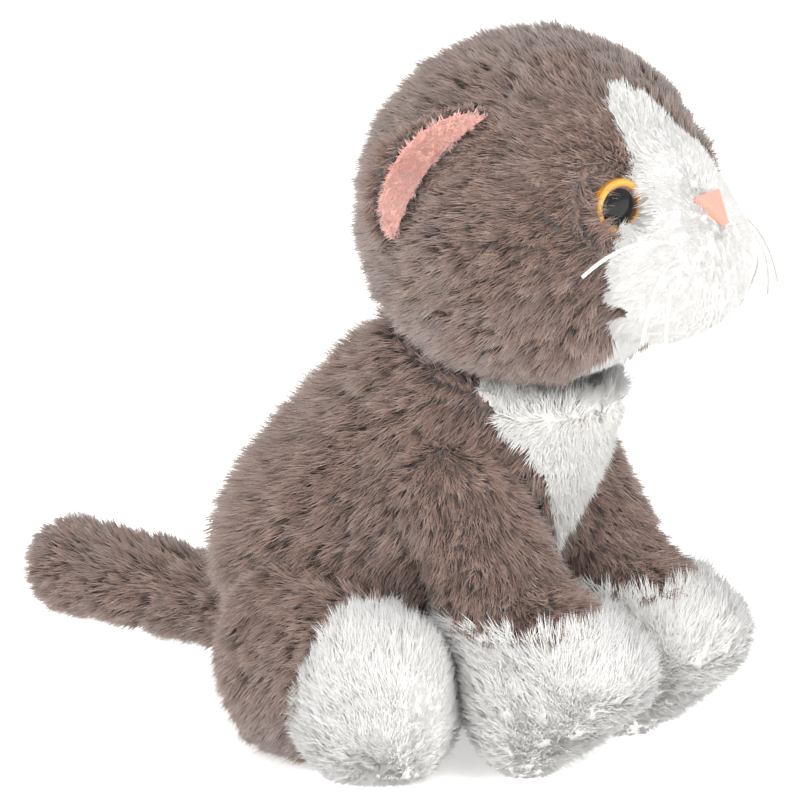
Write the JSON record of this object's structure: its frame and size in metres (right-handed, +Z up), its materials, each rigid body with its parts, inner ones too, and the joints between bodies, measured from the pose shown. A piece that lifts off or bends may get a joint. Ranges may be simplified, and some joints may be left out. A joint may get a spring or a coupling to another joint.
{
  "type": "plush cat",
  "caption": "Sitting plush cat in grey-brown and white long pile, with a turning stuffed head, swinging legs, a soft tail, folding ears, domed eyes and thread whiskers.",
  "frame": {"origin": "middle of the flat seat that the cat rests on", "axes": "+Z up; -Y the way the cat faces; +X towards the cat's left side"},
  "size_m": [0.176, 0.274, 0.241],
  "materials": {
    "taupe_plush": "long-pile plush, grey-brown, matte",
    "white_plush": "long-pile plush, white, matte",
    "pink_plush": "short-pile plush, salmon pink, matte",
    "pink_velour": "velour, pale salmon, matte",
    "polyester_fibre": "loose polyester fibre filling",
    "pellet_bag": "plastic granules in a cotton bag",
    "black_plastic": "polished black",
    "amber_plastic": "clear-coated amber",
    "washer_plastic": "white, unpainted",
    "waxed_thread": "stiff waxed thread, white"
  },
  "bodies": {
    "torso": {"back_panel_right": "taupe_plush", "back_panel_left": "taupe_plush", "bib_panel": "white_plush", "belly_panel": "taupe_plush", "seat_panel": "taupe_plush", "body_stuffing": "polyester_fibre", "pellet_pouch": "pellet_bag"},
    "neck": {"neck_stuffing": "polyester_fibre"},
    "head": {"crown_panel": "taupe_plush", "blaze_panel": "white_plush", "chin_panel": "white_plush", "muzzle_panel": "white_plush", "cheek_panel_right": "taupe_plush", "cheek_panel_left": "taupe_plush", "head_back_panel_right": "taupe_plush", "head_back_panel_left": "taupe_plush", "head_stuffing": "polyester_fibre", "nose_pad": "pink_velour", "eye_dome_right": "black_plastic", "eye_iris_right": "amber_plastic", "eye_washer_right": "washer_plastic", "eye_dome_left": "black_plastic", "eye_iris_left": "amber_plastic", "eye_washer_left": "washer_plastic", "whisker_right_upper": "waxed_thread", "whisker_right_middle": "waxed_thread", "whisker_right_lower": "waxed_thread", "whisker_left_upper": "waxed_thread", "whisker_left_middle": "waxed_thread", "whisker_left_lower": "waxed_thread"},
    "ear_right": {"ear_back_right": "taupe_plush", "ear_lining_right": "pink_plush"},
    "ear_left": {"ear_back_left": "taupe_plush", "ear_lining_left": "pink_plush"},
    "front_leg_right": {"front_leg_sleeve_right": "taupe_plush", "front_paw_right": "white_plush", "front_leg_stuffing_right": "polyester_fibre"},
    "front_leg_left": {"front_leg_sleeve_left": "taupe_plush", "front_paw_left": "white_plush", "front_leg_stuffing_left": "polyester_fibre"},
    "hind_leg_right": {"thigh_panel_right": "taupe_plush", "hind_paw_right": "white_plush", "hind_sole_right": "white_plush", "hind_leg_stuffing_right": "polyester_fibre"},
    "hind_leg_left": {"thigh_panel_left": "taupe_plush", "hind_paw_left": "white_plush", "hind_sole_left": "white_plush", "hind_leg_stuffing_left": "polyester_fibre"},
    "tail": {"tail_skin": "taupe_plush", "tail_stuffing": "polyester_fibre"}
  },
  "joints": [
    {"name": "neck_nod", "type": "hinge", "parent": "torso", "child": "neck", "pos_m": [0, -0.049, 0.131], "axis": [1, 0, 0], "range_deg": [-8, 8], "stiffness_Nm_per_rad": 2},
    {"name": "head_turn", "type": "hinge", "parent": "neck", "child": "head", "pos_m": [0, -0.049, 0.131], "axis": [0, -0.2953, 0.9554], "range_deg": [-20, 20], "stiffness_Nm_per_rad": 2},
    {"name": "ear_fold_right", "type": "hinge", "parent": "head", "child": "ear_right", "pos_m": [-0.049, -0.05695, 0.2025], "axis": [0.1905, -0.4782, 0.8573], "range_deg": [-14, 14], "stiffness_Nm_per_rad": 0.1},
    {"name": "ear_fold_left", "type": "hinge", "parent": "head", "child": "ear_left", "pos_m": [0.049, -0.05695, 0.2025], "axis": [-0.1905, -0.4782, 0.8573], "range_deg": [-14, 14], "stiffness_Nm_per_rad": 0.1},
    {"name": "front_leg_right_swing", "type": "hinge", "parent": "torso", "child": "front_leg_right", "pos_m": [-0.03, -0.049, 0.092], "axis": [-1, 0, 0], "range_deg": [0, 25], "stiffness_Nm_per_rad": 0.5},
    {"name": "front_leg_left_swing", "type": "hinge", "parent": "torso", "child": "front_leg_left", "pos_m": [0.03, -0.049, 0.092], "axis": [-1, 0, 0], "range_deg": [0, 25], "stiffness_Nm_per_rad": 0.5},
    {"name": "hind_leg_right_splay", "type": "hinge", "parent": "torso", "child": "hind_leg_right", "pos_m": [-0.05, 0.004, 0.033], "axis": [0, 0, -1], "range_deg": [0, 20], "stiffness_Nm_per_rad": 0.5},
    {"name": "hind_leg_left_splay", "type": "hinge", "parent": "torso", "child": "hind_leg_left", "pos_m": [0.05, 0.004, 0.033], "axis": [0, 0, 1], "range_deg": [0, 20], "stiffness_Nm_per_rad": 0.5},
    {"name": "tail_swing", "type": "hinge", "parent": "torso", "child": "tail", "pos_m": [0, 0.054, 0.032], "axis": [0, 0, 1], "range_deg": [-25, 25], "stiffness_Nm_per_rad": 0.3}
  ]
}
